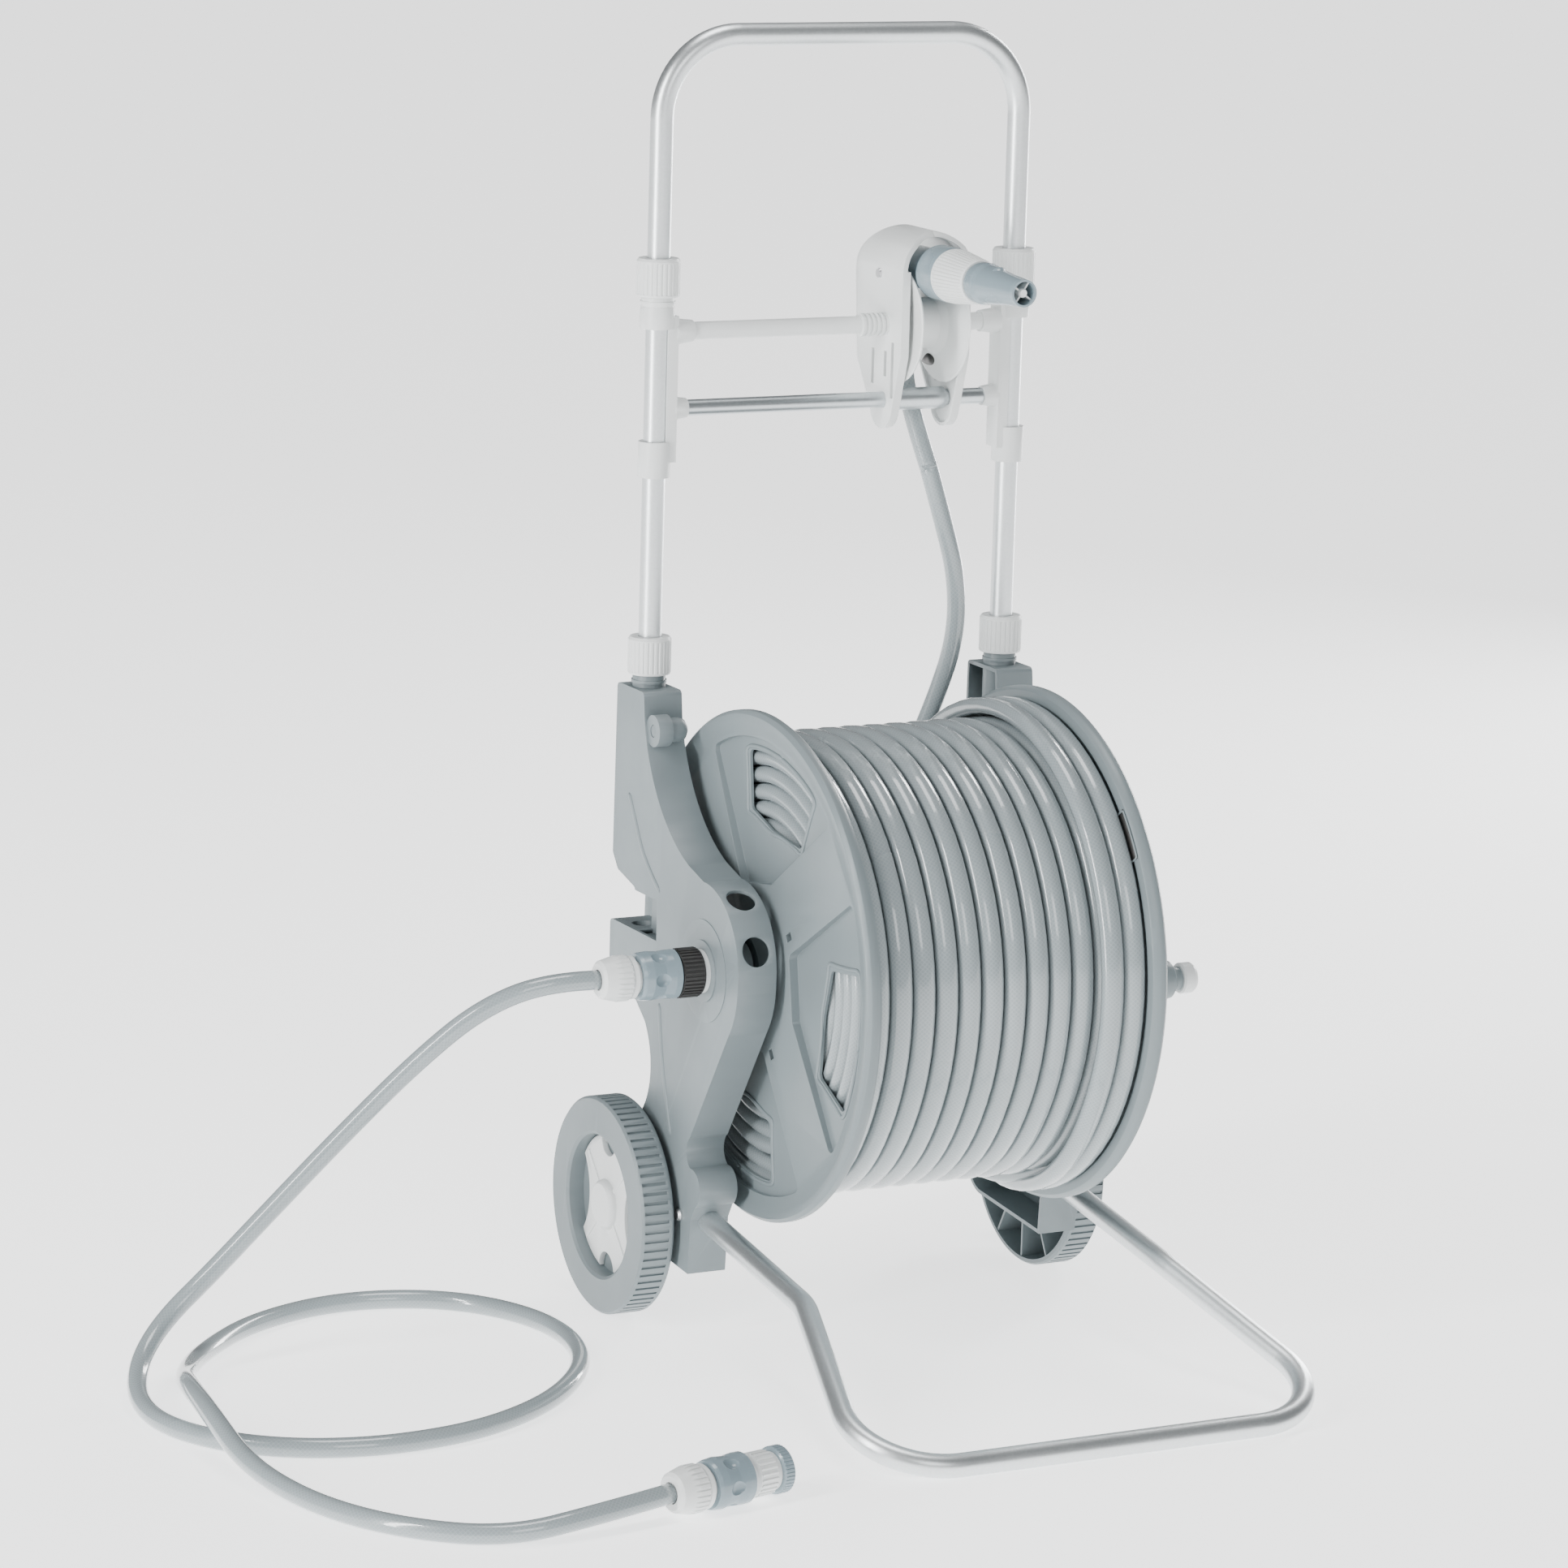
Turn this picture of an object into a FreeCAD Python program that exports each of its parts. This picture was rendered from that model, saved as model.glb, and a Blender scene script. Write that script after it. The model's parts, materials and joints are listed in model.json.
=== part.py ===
"""Garden hose reel cart: an upright two-wheel trolley with a sliding aluminium handle, a hose guide that
slides along the reel, a crank reel full of hose and a lead hose that runs to the tap.

Millimetres, +Z up. The cart's front faces -Y and its water inlet is on the -X side. Everything is drawn with
x = 0 on the frame's mid-plane and y = 0 on the reel axis, and TO_ORIGIN moves it to the export origin: the
centre of the cart's footprint, on the ground.
"""
import FreeCAD, Part
import math
import os
from FreeCAD import Vector as V

os.makedirs("parts", exist_ok=True)
X_AXIS, Y_AXIS, Z_AXIS = V(1, 0, 0), V(0, 1, 0), V(0, 0, 1)

# ---- driving dimensions ----------------------------------------------------------------------------------
TUBE_R, TUBE_WALL = 9.0, 1.2            # handle and foot tube
SLIDE_GAP = 0.05                        # radial clearance of everything that slides or turns on a shaft
LEG_X, LEG_Y = 155.75, 145.0            # handle legs
HANDLE_TOP, HANDLE_BOTTOM = 1001.0, 440.0
HANDLE_BEND = 63.0                      # centreline radius of the handle's top corners

REEL_Z = 300.0
FLANGE_R, FLANGE_OUT, FLANGE_IN = 202.5, 122.3, 111.8
LEFT_FLANGE_R, LEFT_SHIFT = 198.0, 9.0  # the inlet side's flange is smaller and stands further out
WINDOW_R = 167.0                        # window's outer edge
HOSE_R = 7.6
DRUM_R = 101.0
WIND_R, LAST_TURN_R = 180.5, 196.0      # outside of the full layers and of the two last turns
LAST_TURN_X = (72.5, 108.3)
HUB_R = 14.0
SPOKE_ANGLE = 59.0

FRAME_IN, FRAME_OUT, FRAME_WALL = 139.5, 172.0, 3.0
COLUMN_TOP = 495.0
RING_Z = (270.0, 304.0)                 # box at the frame's back that guides the handle leg a second time
AXLE_Y, AXLE_Z, AXLE_R = 113.5, 86.5, 5.0
WHEEL_R, WHEEL_IN, WHEEL_OUT = 86.5, 178.1, 205.3
RECESS_R = 56.5
TREAD_GROOVES = 72

FOOT_SOCKET = V(LEG_X, 45, 100)         # foot tube's end inside the side frame
FOOT_KNEE = V(LEG_X, -156, 75)
FOOT_CORNER = V(205, -356, TUBE_R)

NUT_R, NUT_H, NECK_R = 17.0, 29.5, 13.0
LOWER_NUT_Z, UPPER_NUT_Z = 505.0, 801.0
BRACKET_BOTTOM = 660.0
UPPER_ROD_Z, UPPER_ROD_R = 773.0, 7.0
LOWER_ROD_Z, LOWER_ROD_R = 713.0, 6.4
ROD_END = 134.0

GUIDE_X, GUIDE_HALF, PLATE_T = 72.5, 30.5, 4.0
NOZZLE_Z, NOZZLE_BACK = 817.0, 152.0
SCREW_Z = 812.0
PULLEY_R, GROOVE_R = 47.5, 20.0
HOSE_BACK_Y = LEG_Y + GROOVE_R + HOSE_R + 0.6   # where the hose runs down behind the pulley

LOCK_Y, LOCK_Z = 105.0, 467.0
CRANK_Y, CRANK_Z = 89.0, REEL_Z - 66.0
GRIP_X = (203.0, 315.0)
CONNECTOR_R = 19.0
INLET_HOSE_X = -261.0                   # where the lead hose enters its connector
SEAL_X = (-156.0, -148.0)               # grooves of the inlet spindle's seals
TAP_END = V(-363, -362.6, CONNECTOR_R + 0.2)
TAP_DIR = V(0.977, 0.213, 0)

TO_ORIGIN = V(-(GRIP_X[1] - WHEEL_OUT) / 2, -(AXLE_Y + WHEEL_R + FOOT_CORNER.y - TUBE_R) / 2, 0)

# Route of the lead hose from the inlet connector, down to the ground, once round and on to the tap connector.
ON_GROUND = HOSE_R + 0.2
OVER = ON_GROUND + 2 * HOSE_R + 7.0     # height where the hose crosses over itself
LEAD_ROUTE = [
    V(INLET_HOSE_X, 0, REEL_Z), V(-303, 1, 302), V(-352, 14, 282), V(-396, 31, 241), V(-448, 49, 184),
    V(-500, 64, 126), V(-544, 74, 78), V(-581, 71, 48), V(-609, 49, 27), V(-626, 14, 13),
    V(-631, -28, ON_GROUND), V(-623, -72, ON_GROUND), V(-597, -114, ON_GROUND), V(-552, -146, ON_GROUND),
    V(-488, -161, ON_GROUND), V(-408, -149, ON_GROUND), V(-328, -98, ON_GROUND), V(-270, -16, ON_GROUND),
    V(-260, 78, ON_GROUND), V(-304, 158, ON_GROUND), V(-388, 188, ON_GROUND), V(-476, 160, ON_GROUND),
    V(-545, 92, 10), V(-585, 22, 18), V(-603, -38, OVER), V(-612, -108, OVER), V(-612, -180, 14),
    V(-594, -258, ON_GROUND), V(-556, -330, ON_GROUND), V(-494, -376, ON_GROUND), V(-424, -376, 16), TAP_END]

# Route of the free hose from the pulley down to the last turn on the reel, cut at the bridge's lower edge.
DROP_UPPER = [
    V(GUIDE_X, HOSE_BACK_Y, 793.5), V(GUIDE_X + 0.5, HOSE_BACK_Y + 0.5, 742), V(80, 169, 700),
    V(92, 158, 656)]
DROP_LOWER = [
    V(92.3, 157.8, 655), V(104, 152, 612), V(117, 150, 565), V(121, 156, 515), V(112, 170, 463),
    V(99, 186, 412), V(93, 197, 362)]


# ---- helpers ---------------------------------------------------------------------------------------------
def rod(start, axis, length, radius):
    return Part.makeCylinder(radius, length, start, axis)


def ring(start, axis, length, outer, inner):
    return rod(start, axis, length, outer).cut(rod(start, axis, length, inner))


def block(low, high):
    size = high - low
    return Part.makeBox(size.x, size.y, size.z, low)


def turned(profile, origin, axis):
    """Solid of revolution: profile is (radius, distance along the axis)."""
    points = [V(r, 0, h) for r, h in profile]
    solid = Part.Face(Part.makePolygon(points + points[:1])).revolve(V(0, 0, 0), Z_AXIS, 360)
    solid.Placement = FreeCAD.Placement(origin, FreeCAD.Rotation(Z_AXIS, axis))
    return solid


def around(solid, centre, axis, count, first=0.0):
    """Copies of a solid, evenly spaced round an axis."""
    copies = []
    for i in range(count):
        copy = solid.copy()
        copy.rotate(centre, axis, first + 360.0 * i / count)
        copies.append(copy)
    return Part.makeCompound(copies)


def side_outline(segments, x):
    """Closed wire in the plane x: each segment is a (y, z) corner, or a pair (point on arc, arc's end)."""
    edges = []
    start = here = V(x, *segments[0])
    for segment in segments[1:]:
        if isinstance(segment[0], tuple):
            end = V(x, *segment[1])
            edges.append(Part.Arc(here, V(x, *segment[0]), end).toShape())
        else:
            end = V(x, *segment)
            edges.append(Part.LineSegment(here, end).toShape())
        here = end
    edges.append(Part.LineSegment(here, start).toShape())
    return Part.Wire(edges)


def rounded_path(points, radius=None):
    """Straight runs joined by tangent arcs, of one radius or as wide as 0.45 of the shorter run allows."""
    edges, radii = [], []
    here = points[0]
    for before, corner, after in zip(points, points[1:], points[2:]):
        back, ahead = (before - corner), (after - corner)
        half_turn = (math.pi - back.getAngle(ahead)) / 2
        reach = 0.45 * min(back.Length, ahead.Length)
        if radius:
            reach = radius * math.tan(half_turn)
        bend = reach / math.tan(half_turn)
        back.normalize()
        ahead.normalize()
        enter, leave = corner + back * reach, corner + ahead * reach
        inward = back + ahead
        inward.normalize()
        middle = corner + inward * (bend / math.cos(half_turn) - bend)
        edges.append(Part.LineSegment(here, enter).toShape())
        edges.append(Part.Arc(enter, middle, leave).toShape())
        radii.append(round(bend, 1))
        here = leave
    edges.append(Part.LineSegment(here, points[-1]).toShape())
    return Part.Wire(edges), radii


def swept(path, points, radius):
    start = Part.Wire([Part.makeCircle(radius, points[0], points[1] - points[0])])
    return path.makePipeShell([start], True, False)


def tube(points, bend):
    path = rounded_path(points, bend)[0]
    return swept(path, points, TUBE_R).cut(swept(path, points, TUBE_R - TUBE_WALL))


def hose(name, points):
    path, radii = rounded_path(points)
    solid = swept(path, points, HOSE_R)
    ratio = solid.Volume / (math.pi * HOSE_R ** 2 * path.Length)
    print(name, "length", round(path.Length, 1), "radii", radii, "volume ratio", round(ratio, 4))
    return solid


def along_x(solid):
    return [e for e in solid.Edges if abs(e.tangentAt(e.FirstParameter).x) > 0.999]


def mirrored(solid):
    return solid.mirror(V(0, 0, 0), X_AXIS)


def pair(name, solid):
    """A part of the +X side, and its mirror image on the -X side."""
    return {name + "_right": solid, name + "_left": mirrored(solid)}


# ---- side frames -----------------------------------------------------------------------------------------
FRAME_OUTLINE = [
    (119, COLUMN_TOP), (116, 470), ((91, 419), (31, 376)), (4, 369), ((-43, 350), (-60, 302)),
    ((-57, 280), (-46, 259)), (17, 163), ((23, 151), (15, 139)), ((-3, 124), (5, 110)), (12, 98), (15, 54),
    (113, 60.5), ((139.5, 86.5), (122, 111)), (104, 165), ((91, 200), (104, 236)), (150, RING_Z[0]),
    (172, RING_Z[0]), (172, RING_Z[1]), (127, RING_Z[1]), (127, 338), (160, 346), (170, 358),
    (168, COLUMN_TOP)]
HAND_HOLES = (115.0, 155.0)             # bearing of the two round holes in the front wall, from the reel axis


def frame_ribs():
    ribs = [block(V(FRAME_IN, 60, 300), V(FRAME_OUT, 62.5, 520)),
            block(V(FRAME_IN, -80, 298), V(FRAME_OUT, 140, 300.5)),
            block(V(FRAME_IN, 35, 90), V(FRAME_OUT, 37.5, 300)),
            block(V(FRAME_IN, -60, 228), V(FRAME_OUT, 120, 230.5)),
            block(V(FRAME_IN, -10, 130), V(FRAME_OUT, 140, 132.5)),
            block(V(FRAME_IN, 100, 420), V(FRAME_OUT, 170, 422.5))]
    return ribs


def side_frame():
    """Moulded shell, open towards the reel, with bosses for everything that it carries."""
    face = Part.Face(side_outline(FRAME_OUTLINE, FRAME_IN))
    full = face.extrude(V(FRAME_OUT - FRAME_IN, 0, 0))
    corners = [e for e in along_x(full) if e.Vertexes[0].Point.z > 265 and e.Vertexes[0].Point.y > 118]
    full = full.makeFillet(4.0, corners)
    hollow = face.makeOffset2D(-FRAME_WALL).extrude(V(FRAME_OUT - FRAME_WALL - FRAME_IN, 0, 0))
    leg = V(LEG_X, LEG_Y, 0)
    hub = V(FRAME_IN, 0, REEL_Z)
    axle = V(FRAME_IN, AXLE_Y, AXLE_Z)
    thickness = FRAME_OUT - FRAME_IN
    foot_dir = FOOT_KNEE - FOOT_SOCKET
    filling = [rod(leg + V(0, 0, 352), Z_AXIS, COLUMN_TOP - 352, NECK_R), rod(hub, X_AXIS, thickness, 21),
               rod(axle, X_AXIS, thickness, 11), rod(FOOT_SOCKET, foot_dir, 44, 13.5)] + frame_ribs()
    inside = filling[0].multiFuse(filling[1:]).common(full)
    shell = full.cut(hollow).fuse(inside)
    shell = shell.multiFuse([
        ring(leg + V(0, 0, RING_Z[0]), Z_AXIS, RING_Z[1] - RING_Z[0], 15.5, TUBE_R),
        rod(leg + V(0, 0, COLUMN_TOP - 1), Z_AXIS, 23, NECK_R),
        ring(leg + V(0, 0, COLUMN_TOP + 3), Z_AXIS, 2.5, NECK_R + 0.9, NECK_R - 1),
        rod(V(FRAME_OUT - 1, 0, REEL_Z), X_AXIS, 1.6, 40),
        rod(V(FRAME_OUT - 1, 0, REEL_Z), X_AXIS, 3, 24)])
    pocket_floor = FRAME_OUT - 15
    shell = shell.cut(block(V(pocket_floor, 86, RING_Z[1]), V(FRAME_OUT + 5, 130, 336)))
    shell = shell.fuse(block(V(pocket_floor - FRAME_WALL, 83, RING_Z[1] - 3), V(pocket_floor, 127, 339)))
    holes = [rod(leg + V(0, 0, 200), Z_AXIS, 400, TUBE_R + SLIDE_GAP),
             rod(axle - V(5, 0, 0), X_AXIS, 60, AXLE_R),
             rod(FOOT_SOCKET, foot_dir, 80, TUBE_R)]
    hub = V(LEG_X, 0, REEL_Z)
    holes += [rod(hub + bearing(angle) * 44, bearing(angle), 60, 11.6) for angle in HAND_HOLES]
    return shell.cut(holes[0].multiFuse(holes[1:]))


def bearing(degrees):
    """Unit vector in a side view, measured from +Y towards +Z."""
    return V(0, math.cos(math.radians(degrees)), math.sin(math.radians(degrees)))


def side_frames():
    basic = side_frame()
    screw_hole = rod(V(FRAME_IN, 30, 98), X_AXIS, 60, 2.4)
    right = basic.cut(screw_hole).cut(rod(V(FRAME_IN - 5, 0, REEL_Z), X_AXIS, 60, HUB_R + SLIDE_GAP))
    left = mirrored(basic.cut(screw_hole))
    left = left.cut(rod(V(-FRAME_IN + 5, 0, REEL_Z), -X_AXIS, 28, HUB_R + SLIDE_GAP))
    left = left.cut(rod(V(-FRAME_IN, 0, REEL_Z), -X_AXIS, 60, TUBE_R))
    lock_boss = ring(V(-170, LOCK_Y, LOCK_Z), X_AXIS, 12, 12.5, 5 + SLIDE_GAP)
    return {"side_frame_right": right, "side_frame_left": left.fuse(lock_boss)}


def reel_lock_knob():
    cap = turned([(0, 0), (9.5, 0), (9.5, 9), (8, 13), (4, 15.5), (0, 16)], V(-157.5, LOCK_Y, LOCK_Z), X_AXIS)
    return cap.fuse(rod(V(-169.5, LOCK_Y, LOCK_Z), X_AXIS, 13, 5))


def foot_tube():
    half = [FOOT_SOCKET, FOOT_KNEE, FOOT_CORNER]
    other = [V(-p.x, p.y, p.z) for p in reversed(half)]
    solid = tube(half + other, 62)
    return solid.cut(rod(V(-200, 30, 98), X_AXIS, 400, 2.4))


def foot_screws():
    screw = turned([(0, 0), (2.4, 0), (2.4, 26), (4.8, 26), (4.8, 28), (3, 29.5), (0, 29.5)],
                   V(FRAME_OUT - 26, 30, 98), X_AXIS)
    return Part.makeCompound([screw, mirrored(screw)])


def wheel_axles():
    """Headed stub axles, each with a push-on clip outside the wheel."""
    length = 196.0 - FRAME_IN
    axle = rod(V(FRAME_IN - 1, AXLE_Y, AXLE_Z), X_AXIS, length, AXLE_R)
    axle = axle.fuse(rod(V(FRAME_IN - 3, AXLE_Y, AXLE_Z), X_AXIS, 3, 8.5))
    clip = ring(V(191.6, AXLE_Y, AXLE_Z), X_AXIS, 2, 7.5, AXLE_R)
    return Part.makeCompound([axle, clip, mirrored(axle), mirrored(clip)])


# ---- wheels ----------------------------------------------------------------------------------------------
def wheel():
    """Moulded wheel: ribbed tread, flat outer ring, round recess for the hub cover, hollow inner side."""
    centre = V(0, AXLE_Y, AXLE_Z)
    profile = [
        (AXLE_R + SLIDE_GAP, WHEEL_IN), (13, WHEEL_IN), (13, 188), (RECESS_R - 0.5, 188), (59.5, 191),
        (59.5, 202), (82, 202), (82, WHEEL_IN), (85, WHEEL_IN), (WHEEL_R, 180), (WHEEL_R, 203.4),
        (84.5, WHEEL_OUT), (59, WHEEL_OUT), (RECESS_R, 203.5), (RECESS_R, 191), (AXLE_R + SLIDE_GAP, 191)]
    solid = turned(profile, centre, X_AXIS)
    spoke = block(V(WHEEL_IN + 0.8, AXLE_Y - 1.1, AXLE_Z + 12), V(202.5, AXLE_Y + 1.1, AXLE_Z + 83))
    recess = rod(centre + V(190, 0, 0), X_AXIS, 30, 58)
    solid = solid.fuse(around(spoke, centre, X_AXIS, 12).cut(recess))
    groove = block(V(WHEEL_IN + 4.5, AXLE_Y - 1.3, AXLE_Z + WHEEL_R - 1.5),
                   V(WHEEL_OUT - 2, AXLE_Y + 1.3, 200))
    return solid.cut(around(groove, centre, X_AXIS, TREAD_GROOVES))


def wheel_hub():
    """Four-lobed cover in the wheel's recess."""
    centre = V(191.2, AXLE_Y, AXLE_Z)
    plate = turned([(8, 0), (55.5, 0), (55.5, 3.6), (53.5, 5), (20, 5.6), (19.5, 9), (17, 11.5), (0, 11.5),
                    (0, 8), (8, 8)], centre, X_AXIS)
    rib = block(centre + V(4, -1.5, 16), centre + V(6.6, 1.5, 50))
    plate = plate.fuse(around(rib, centre, X_AXIS, 4, 45))
    notch = around(rod(centre + V(-1, 0, 53), X_AXIS, 20, 13.5), centre, X_AXIS, 2)
    waist = around(rod(centre + V(-1, 79.4, 0), X_AXIS, 20, 46.4), centre, X_AXIS, 2)
    return plate.cut(notch).cut(waist)


# ---- handle and bridge -----------------------------------------------------------------------------------
def handle_tube():
    right = [V(LEG_X, LEG_Y, HANDLE_BOTTOM), V(LEG_X, LEG_Y, HANDLE_TOP)]
    left = [V(-p.x, p.y, p.z) for p in reversed(right)]
    return tube(right + left, HANDLE_BEND)


def handle_plugs():
    bore = TUBE_R - TUBE_WALL
    plug = turned([(0, 0), (8.6, 0), (8.6, 2.5), (bore, 2.5), (bore, 16), (0, 16)],
                  V(LEG_X, LEG_Y, HANDLE_BOTTOM - 2.5), Z_AXIS)
    return Part.makeCompound([plug, mirrored(plug)])


def lock_nut(bottom):
    """Fluted nut that squeezes a collet on to the leg."""
    profile = [(13.9, 0), (16.3, 0), (NUT_R, 1), (NUT_R, NUT_H - 2), (15.6, NUT_H), (9.5, NUT_H), (9.5, 26.5),
               (12.6, 24), (12.8, 21), (13.9, 20)]
    nut = turned(profile, V(LEG_X, LEG_Y, bottom), Z_AXIS)
    flute = rod(V(LEG_X + NUT_R + 0.5, LEG_Y, bottom + 2), Z_AXIS, NUT_H - 5, 1.2)
    return nut.cut(around(flute, V(LEG_X, LEG_Y, 0), Z_AXIS, 28))


def collets(nut_bottom):
    """Split rings round the legs inside the lock nuts."""
    body = turned([(TUBE_R + SLIDE_GAP, 0), (12.3, 0), (12.3, 5), (10.6, 8), (TUBE_R + SLIDE_GAP, 8)],
                  V(LEG_X, LEG_Y, nut_bottom + 17.2), Z_AXIS)
    body = body.cut(block(V(LEG_X - 20, LEG_Y - 1, nut_bottom), V(LEG_X, LEG_Y + 1, nut_bottom + 30)))
    return Part.makeCompound([body, mirrored(body)])


def bracket():
    """Sliding bracket: lower ring, inboard rail and threaded neck, with two bosses for the cross rods."""
    leg = V(LEG_X, LEG_Y, 0)
    rail_in, rail_out = LEG_X - 14.5, LEG_X - 5.5
    pieces = [
        rod(leg + V(0, 0, BRACKET_BOTTOM), Z_AXIS, 28, 12.6),
        rod(leg + V(0, 0, 786), Z_AXIS, 32, NECK_R),
        turned([(0, 0), (13.8, 0), (14.2, 8), (13.2, 17), (0, 17)], leg + V(0, 0, 776), Z_AXIS),
        ring(leg + V(0, 0, 795), Z_AXIS, 2.5, NECK_R + 0.8, NECK_R - 1),
        block(V(rail_in, LEG_Y - 9, 672), V(rail_out, LEG_Y + 9, 786)),
        Part.makeCone(10.5, 8.6, 16, V(rail_in + 1, LEG_Y, UPPER_ROD_Z), -X_AXIS),
        Part.makeCone(9.5, 7.8, 12, V(rail_in + 1, LEG_Y, LOWER_ROD_Z), -X_AXIS)]
    solid = pieces[0].multiFuse(pieces[1:])
    bores = [rod(leg, Z_AXIS, 1000, TUBE_R + SLIDE_GAP),
             rod(V(ROD_END, LEG_Y, UPPER_ROD_Z), -X_AXIS, 40, UPPER_ROD_R),
             rod(V(ROD_END, LEG_Y, LOWER_ROD_Z), -X_AXIS, 40, LOWER_ROD_R)]
    return solid.cut(bores[0].multiFuse(bores[1:]))


def cross_rods():
    upper = rod(V(-ROD_END, LEG_Y, UPPER_ROD_Z), X_AXIS, 2 * ROD_END, UPPER_ROD_R)
    lower = ring(V(-ROD_END, LEG_Y, LOWER_ROD_Z), X_AXIS, 2 * ROD_END, LOWER_ROD_R, LOWER_ROD_R - 1)
    return {"guide_rod_upper": upper, "guide_rod_lower": lower}


# ---- hose guide ------------------------------------------------------------------------------------------
PLATE_OUTLINE = [
    (116, 750), (116, 836), ((160, 854), (197, 806)), (191, 742), (166, 704), ((147, 690), (130, 703))]
LIGHTENING = [(128, 716, 760), (140, 732, 752), (161, 724, 752)]


def guide_side():
    """Right half of the guide: side plate with an inward rim, and half of the hood that joins the plates."""
    inner = GUIDE_X + GUIDE_HALF - PLATE_T
    body = Part.Face(side_outline(PLATE_OUTLINE, GUIDE_X + 0.15)).extrude(V(GUIDE_HALF - 0.15, 0, 0))
    axis = V(GUIDE_X, 100, NOZZLE_Z)
    below = block(V(GUIDE_X, 100, 600), V(GUIDE_X + GUIDE_HALF, 210, NOZZLE_Z))
    outer = rod(axis, Y_AXIS, 110, GUIDE_HALF).fuse(below)
    hollow = rod(axis, Y_AXIS, 110, GUIDE_HALF - PLATE_T).fuse(
        block(V(GUIDE_X, 100, 600), V(inner, 210, NOZZLE_Z)))
    plate = body.common(outer).cut(hollow)
    rim = Part.Face(side_outline(PLATE_OUTLINE, inner - 3)).extrude(V(3.5, 0, 0))
    rim = rim.cut(Part.Face(side_outline(PLATE_OUTLINE, inner - 4)).makeOffset2D(-2.6).extrude(V(5, 0, 0)))
    plate = plate.fuse(rim.common(below))
    holes = [rod(V(inner - 10, LEG_Y, UPPER_ROD_Z), X_AXIS, 30, UPPER_ROD_R + 0.5),
             rod(V(inner - 10, LEG_Y, LOWER_ROD_Z), X_AXIS, 30, LOWER_ROD_R + SLIDE_GAP),
             rod(V(inner - 10, 156, SCREW_Z), X_AXIS, 30, 2.2)]
    holes += [block(V(inner - 10, y, low), V(inner + 10, y + 4.5, high)) for y, low, high in LIGHTENING]
    return plate.cut(holes[0].multiFuse(holes[1:]))


def guide_parts():
    right = guide_side()
    left = right.mirror(V(GUIDE_X, 0, 0), X_AXIS)
    bush_start = GUIDE_X - GUIDE_HALF - 23
    bush = ring(V(bush_start, LEG_Y, UPPER_ROD_Z), X_AXIS, 23, 7.9, UPPER_ROD_R + SLIDE_GAP)
    for i in range(6):
        bush = bush.fuse(ring(V(bush_start + 0.5 + 4.1 * i, LEG_Y, UPPER_ROD_Z), X_AXIS, 2, 9.2, 7.5))
    screw = turned([(0, 0), (2.2, 0), (2.2, 8), (4, 8), (3.4, 9.8), (0, 9.8)],
                   V(GUIDE_X + GUIDE_HALF - 8, 156, SCREW_Z), X_AXIS)
    screws = Part.makeCompound([screw, screw.mirror(V(GUIDE_X, 0, 0), X_AXIS)])
    return {"guide_side_right": right, "guide_side_left": left, "guide_bush": bush, "guide_screws": screws}


def hose_pulley():
    """Grooved pulley between the guide's sides; it turns on the upper cross rod."""
    half = 22.6
    side = [(UPPER_ROD_R + SLIDE_GAP, -half), (12, -half), (20, -18), (PULLEY_R - 1, -half + 0.8),
            (PULLEY_R, -half + 1.6), (PULLEY_R - 1, -half + 3.2), (GROOVE_R + 5, -13.5), (GROOVE_R, -8.5)]
    profile = side + [(r, -h) for r, h in reversed(side)]
    return turned(profile, V(GUIDE_X, LEG_Y, UPPER_ROD_Z), X_AXIS)


def guide_roller():
    length = 2 * (GUIDE_HALF - PLATE_T) - 8.0
    return ring(V(GUIDE_X - length / 2, LEG_Y, LOWER_ROD_Z), X_AXIS, length, 8.8, LOWER_ROD_R + SLIDE_GAP)


# ---- nozzle, its axis along Y ----------------------------------------------------------------------------
def nozzle_turned(profile):
    """Profile is (radius, distance in front of the nozzle's back face)."""
    return turned(profile, V(GUIDE_X, NOZZLE_BACK, NOZZLE_Z), -Y_AXIS)


def nozzle_parts():
    cup = nozzle_turned([(8, 0), (17, 0), (17, 36), (21.5, 40), (21.5, 60), (20.8, 64), (8, 64)])
    collar = nozzle_turned([(8, 64.2), (21.2, 64.2), (21.2, 71), (17.6, 105), (16.6, 107), (8, 107)])
    flute = Part.makeCone(1.0, 0.8, 40, V(GUIDE_X + 21.8, NOZZLE_BACK - 66, NOZZLE_Z), V(-3.6, -37, 0))
    collar = collar.cut(around(flute, V(GUIDE_X, 0, NOZZLE_Z), Y_AXIS, 44))
    barrel = nozzle_turned([(8, 107.3), (15.4, 107.3), (16.2, 110), (16.4, 118), (15, 124), (12.2, 154),
                            (10.6, 178), (9.0, 178), (9.0, 152), (8, 150)])
    lug = Part.makeSphere(7, V(GUIDE_X, NOZZLE_BACK - 136, NOZZLE_Z + 8.5))
    barrel = barrel.fuse(lug.cut(rod(V(GUIDE_X, 0, NOZZLE_Z), Y_AXIS, 40, 9)))
    spray = nozzle_turned([(0, 152), (3.6, 152), (3.6, 175), (2.8, 176.6), (0, 176.6)])
    centre = V(GUIDE_X, NOZZLE_BACK, NOZZLE_Z)
    spoke = block(centre + V(-0.6, -174, 3), centre + V(0.6, -162, 9))
    spray = spray.fuse(around(spoke, centre, Y_AXIS, 4, 35))
    core = nozzle_turned([(0, 0), (8, 0), (8, 150), (5, 151.5), (0, 151.5)])
    return {"nozzle_cup": cup, "nozzle_collar": collar, "nozzle_core": core,
            "nozzle_barrel": barrel, "nozzle_spray_insert": spray}


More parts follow.
